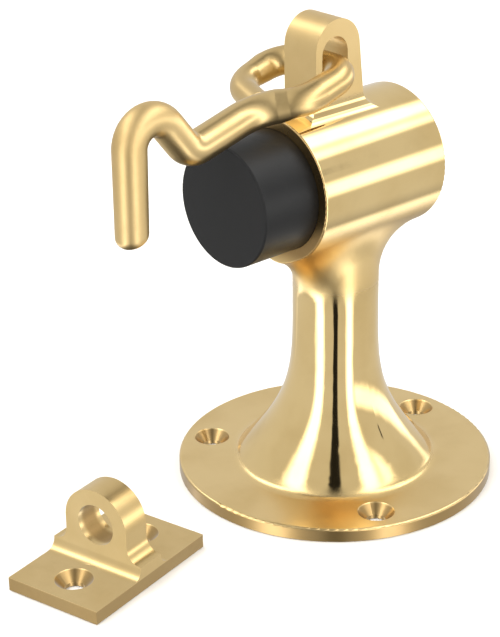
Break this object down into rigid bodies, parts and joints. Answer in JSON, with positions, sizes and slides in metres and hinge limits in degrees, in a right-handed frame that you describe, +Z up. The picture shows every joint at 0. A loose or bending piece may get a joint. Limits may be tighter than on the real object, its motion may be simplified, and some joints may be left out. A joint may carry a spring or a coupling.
{
  "type": "floor door holder",
  "caption": "Floor-mounted door holder: a pedestal with a rubber bumper in its barrel, a hook that swings in a lug, and a keeper for the door.",
  "frame": {"origin": "centre of the base's underside, which stands on the floor", "axes": "+Z up; the barrel lies along Y, with the bumper's face towards -Y, the side the door comes from"},
  "size_m": [0.0762, 0.1301, 0.1136],
  "materials": {
    "brass": "polished and lacquered, with finer lines on the hook, lug and keeper",
    "rubber": "smooth moulded, satin",
    "steel": "plain turned"
  },
  "bodies": {
    "stand": {"stand_casting": "brass", "rubber_bumper": "rubber", "bumper_stud": "steel"},
    "hook": {"hook": "brass"},
    "keeper": {"keeper": "brass"}
  },
  "joints": [
    {"name": "hook_swing", "type": "hinge", "parent": "stand", "child": "hook", "pos_m": [0, -0.00555, 0.1025], "axis": [-1, 0, 0], "range_deg": [0, 190]},
    {"name": "keeper_lift", "type": "slide", "parent": "stand", "child": "keeper", "axis": [0, 0, 1], "range_m": [0, 0.05]}
  ]
}
